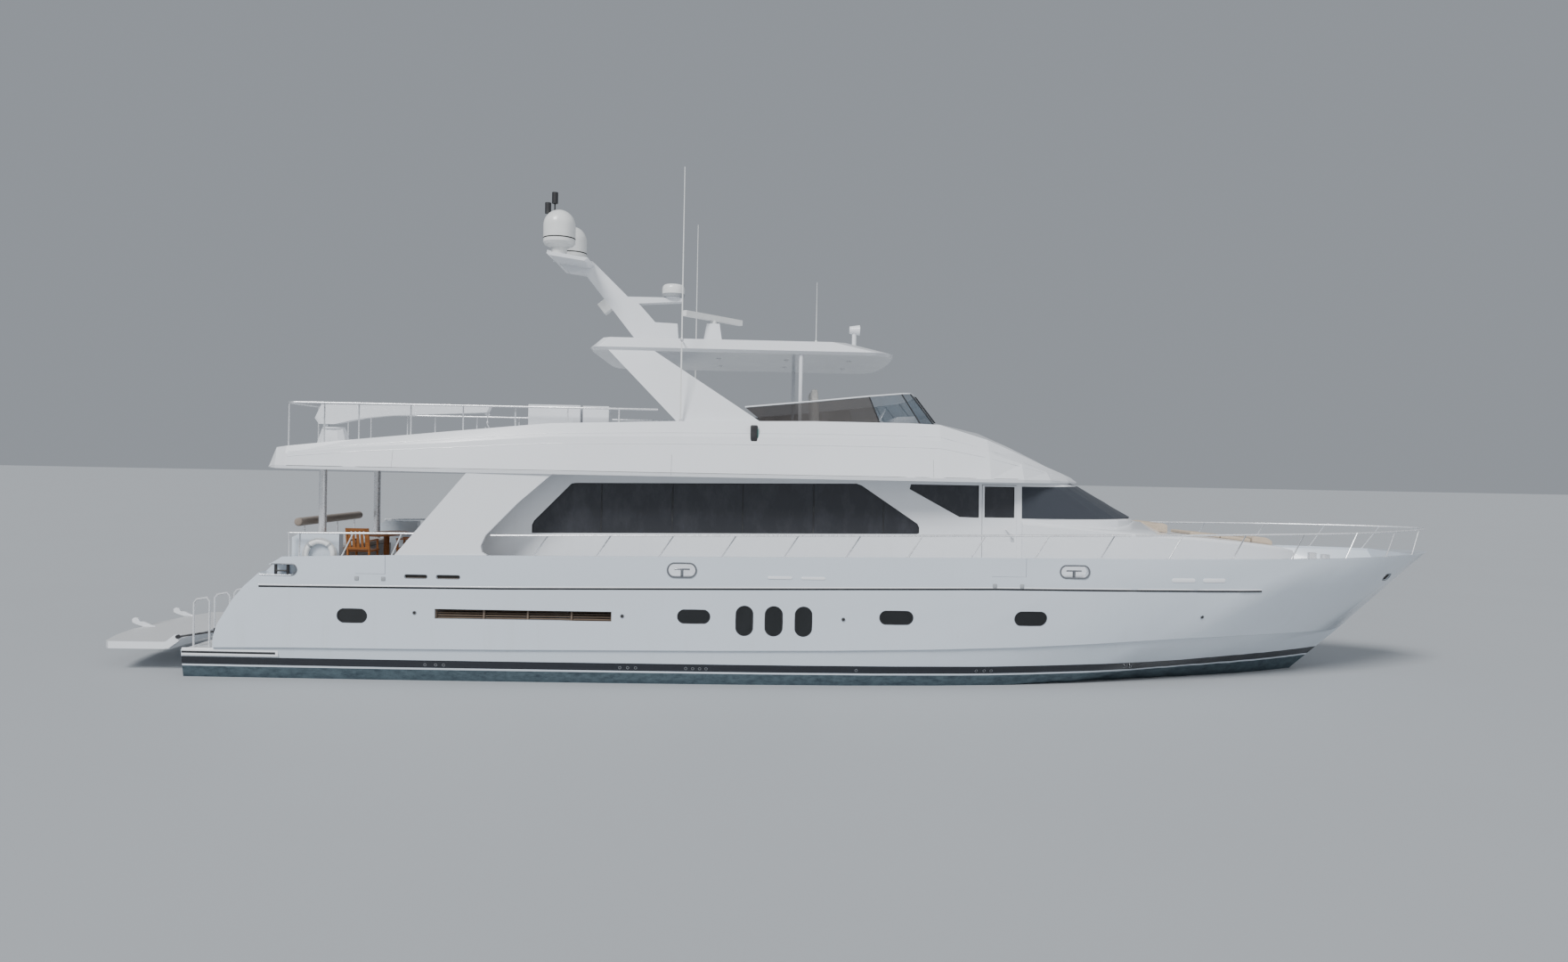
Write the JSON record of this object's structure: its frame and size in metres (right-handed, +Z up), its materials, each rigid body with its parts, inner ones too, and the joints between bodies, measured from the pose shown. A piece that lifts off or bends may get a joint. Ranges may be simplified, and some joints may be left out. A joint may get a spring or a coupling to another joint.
{
  "type": "raised-pilothouse motor yacht, 31 m, afloat",
  "caption": "White semi-displacement motor yacht with enclosed wheelhouse, flybridge under a hardtop, boat deck with crane, covered cockpit and lifting stern platform.",
  "frame": {"origin": "on the centreline at the water's surface, amidships", "axes": "+X forward to the bow, +Y to port, +Z up"},
  "size_m": [31.84, 6.5342, 12.99],
  "materials": {
    "hull_gelcoat": "glossy white gelcoat with a slight blue cast, black boot stripe and dark antifouling",
    "white_gelcoat": "glossy white gelcoat",
    "tinted_glass": "dark tinted glass",
    "stainless": "polished stainless steel tube",
    "bronze": "cast bronze",
    "black_metal": "satin black",
    "engine_paint": "grey enamel",
    "teak": "varnished teak",
    "cushion_fabric": "tan woven outdoor fabric",
    "white_plastic": "moulded white plastic",
    "black_rubber": "matt black rubber",
    "mesh_cover": "dark woven windscreen cover"
  },
  "bodies": {
    "yacht": {"hull": "hull_gelcoat", "engine_starboard": "engine_paint", "engine_port": "engine_paint", "deckhouse": "white_gelcoat", "saloon_glass_starboard": "tinted_glass", "saloon_glass_port": "tinted_glass", "quarter_glass_starboard": "tinted_glass", "quarter_glass_port": "tinted_glass", "windscreen": "tinted_glass", "trunk": "white_gelcoat", "upper_deck": "white_gelcoat", "arch_leg_starboard": "white_gelcoat", "arch_leg_port": "white_gelcoat", "hardtop_post_starboard": "stainless", "hardtop_post_port": "stainless", "hardtop": "white_gelcoat", "mast": "white_gelcoat", "satellite_dome_starboard": "white_plastic", "satellite_dome_port": "white_plastic", "aerial_starboard": "white_plastic", "aerial_port": "white_plastic", "fly_windscreen": "tinted_glass", "boat_deck_rail": "stainless", "side_rail_starboard": "stainless", "side_rail_port": "stainless", "bow_rail": "stainless", "quarter_rail_starboard": "stainless", "quarter_rail_port": "stainless", "cockpit_post_starboard": "stainless", "cockpit_post_port": "stainless", "life_ring": "white_plastic", "settee_cushion": "cushion_fabric", "settee_bolster": "cushion_fabric", "cockpit_table": "teak", "armchair_1": "teak", "armchair_2": "teak", "helm_seat": "cushion_fabric", "fly_settee": "cushion_fabric", "sunpad": "cushion_fabric", "headrest": "cushion_fabric"},
    "propeller_starboard": {"propeller_starboard": "bronze"},
    "propeller_port": {"propeller_port": "bronze"},
    "rudder_starboard": {"rudder_starboard": "bronze"},
    "rudder_port": {"rudder_port": "bronze"},
    "lift_arm_starboard": {"lift_arm_starboard": "black_metal"},
    "lift_arm_port": {"lift_arm_port": "black_metal"},
    "lift_platform": {"lift_platform": "white_gelcoat"},
    "radar_scanner": {"radar_scanner": "white_plastic"},
    "crane_head": {"crane_head": "white_gelcoat"},
    "crane_boom": {"crane_boom": "white_gelcoat"},
    "aft_gate_starboard": {"aft_gate_starboard": "hull_gelcoat"},
    "aft_gate_port": {"aft_gate_port": "hull_gelcoat"},
    "forward_gate_starboard": {"forward_gate_starboard": "hull_gelcoat"},
    "forward_gate_port": {"forward_gate_port": "hull_gelcoat"},
    "wheelhouse_door_starboard": {"wheelhouse_door_starboard": "white_gelcoat", "door_glass_starboard": "tinted_glass"},
    "wheelhouse_door_port": {"wheelhouse_door_port": "white_gelcoat", "door_glass_port": "tinted_glass"},
    "saloon_door": {"saloon_door": "tinted_glass"},
    "foredeck_hatch": {"foredeck_hatch": "white_gelcoat"}
  },
  "joints": [
    {"name": "propeller_starboard_spin", "type": "hinge", "parent": "yacht", "child": "propeller_starboard", "pos_m": [-11.4, -1.3, -1.15], "axis": [0.9903, 0, 0.1392], "continuous": true},
    {"name": "propeller_port_spin", "type": "hinge", "parent": "yacht", "child": "propeller_port", "pos_m": [-11.4, 1.3, -1.15], "axis": [0.9903, 0, 0.1392], "continuous": true},
    {"name": "rudder_starboard_steer", "type": "hinge", "parent": "yacht", "child": "rudder_starboard", "pos_m": [-12.55, -1.3, -1], "axis": [0, 0, 1], "range_deg": [-35, 35]},
    {"name": "rudder_port_steer", "type": "hinge", "parent": "yacht", "child": "rudder_port", "pos_m": [-12.55, 1.3, -1], "axis": [0, 0, 1], "range_deg": [-35, 35]},
    {"name": "lift_arm_starboard_swing", "type": "hinge", "parent": "yacht", "child": "lift_arm_starboard", "pos_m": [-13.08, -2.42, 0.93], "axis": [0, -1, 0], "range_deg": [0, 36]},
    {"name": "lift_arm_port_swing", "type": "hinge", "parent": "yacht", "child": "lift_arm_port", "pos_m": [-13.08, 2.42, 0.93], "axis": [0, -1, 0], "range_deg": [0, 36]},
    {"name": "lift_platform_level", "type": "hinge", "parent": "lift_arm_starboard", "child": "lift_platform", "pos_m": [-13.93, -2.42, 0.79], "axis": [0, -1, 0], "range_deg": [-36, 0]},
    {"name": "radar_scan", "type": "hinge", "parent": "yacht", "child": "radar_scanner", "pos_m": [-2.34, -0.95, 8.2], "axis": [0, 0, 1], "continuous": true},
    {"name": "crane_slew", "type": "hinge", "parent": "yacht", "child": "crane_head", "pos_m": [-11, -1.4, 5.46], "axis": [0, 0, 1], "range_deg": [0, 90]},
    {"name": "crane_luff", "type": "hinge", "parent": "crane_head", "child": "crane_boom", "pos_m": [-11.2, -1.4, 5.74], "axis": [0, -1, 0], "range_deg": [0, 60]},
    {"name": "aft_gate_starboard_swing", "type": "hinge", "parent": "yacht", "child": "aft_gate_starboard", "pos_m": [-9.8196, -3.0704, 2.5], "axis": [0, 0, 1], "range_deg": [0, 70]},
    {"name": "aft_gate_port_swing", "type": "hinge", "parent": "yacht", "child": "aft_gate_port", "pos_m": [-9.8196, 3.0704, 2.5], "axis": [0, 0, -1], "range_deg": [0, 70]},
    {"name": "forward_gate_starboard_swing", "type": "hinge", "parent": "yacht", "child": "forward_gate_starboard", "pos_m": [3.9004, -3.1812, 2.7], "axis": [0, 0, 1], "range_deg": [0, 70]},
    {"name": "forward_gate_port_swing", "type": "hinge", "parent": "yacht", "child": "forward_gate_port", "pos_m": [3.9004, 3.1812, 2.7], "axis": [0, 0, -1], "range_deg": [0, 70]},
    {"name": "wheelhouse_door_starboard_swing", "type": "hinge", "parent": "yacht", "child": "wheelhouse_door_starboard", "pos_m": [4.6396, -2.4046, 2.505], "axis": [0, 0.0514, 0.9987], "range_deg": [0, 55]},
    {"name": "wheelhouse_door_port_swing", "type": "hinge", "parent": "yacht", "child": "wheelhouse_door_port", "pos_m": [4.6396, 2.4046, 2.505], "axis": [0, 0.0514, -0.9987], "range_deg": [0, 55]},
    {"name": "saloon_door_slide", "type": "slide", "parent": "yacht", "child": "saloon_door", "axis": [0, 1, 0], "range_m": [0, 1.1]},
    {"name": "foredeck_hatch_lift", "type": "hinge", "parent": "yacht", "child": "foredeck_hatch", "pos_m": [12.75, 0.9, 2.6013], "axis": [0, 1, 0], "range_deg": [0, 85]}
  ],
  "couplings": [
    {"joint": "rudder_port_steer", "follows": "rudder_starboard_steer", "ratio": 1},
    {"joint": "lift_arm_port_swing", "follows": "lift_arm_starboard_swing", "ratio": 1},
    {"joint": "lift_platform_level", "follows": "lift_arm_starboard_swing", "ratio": -1}
  ]
}
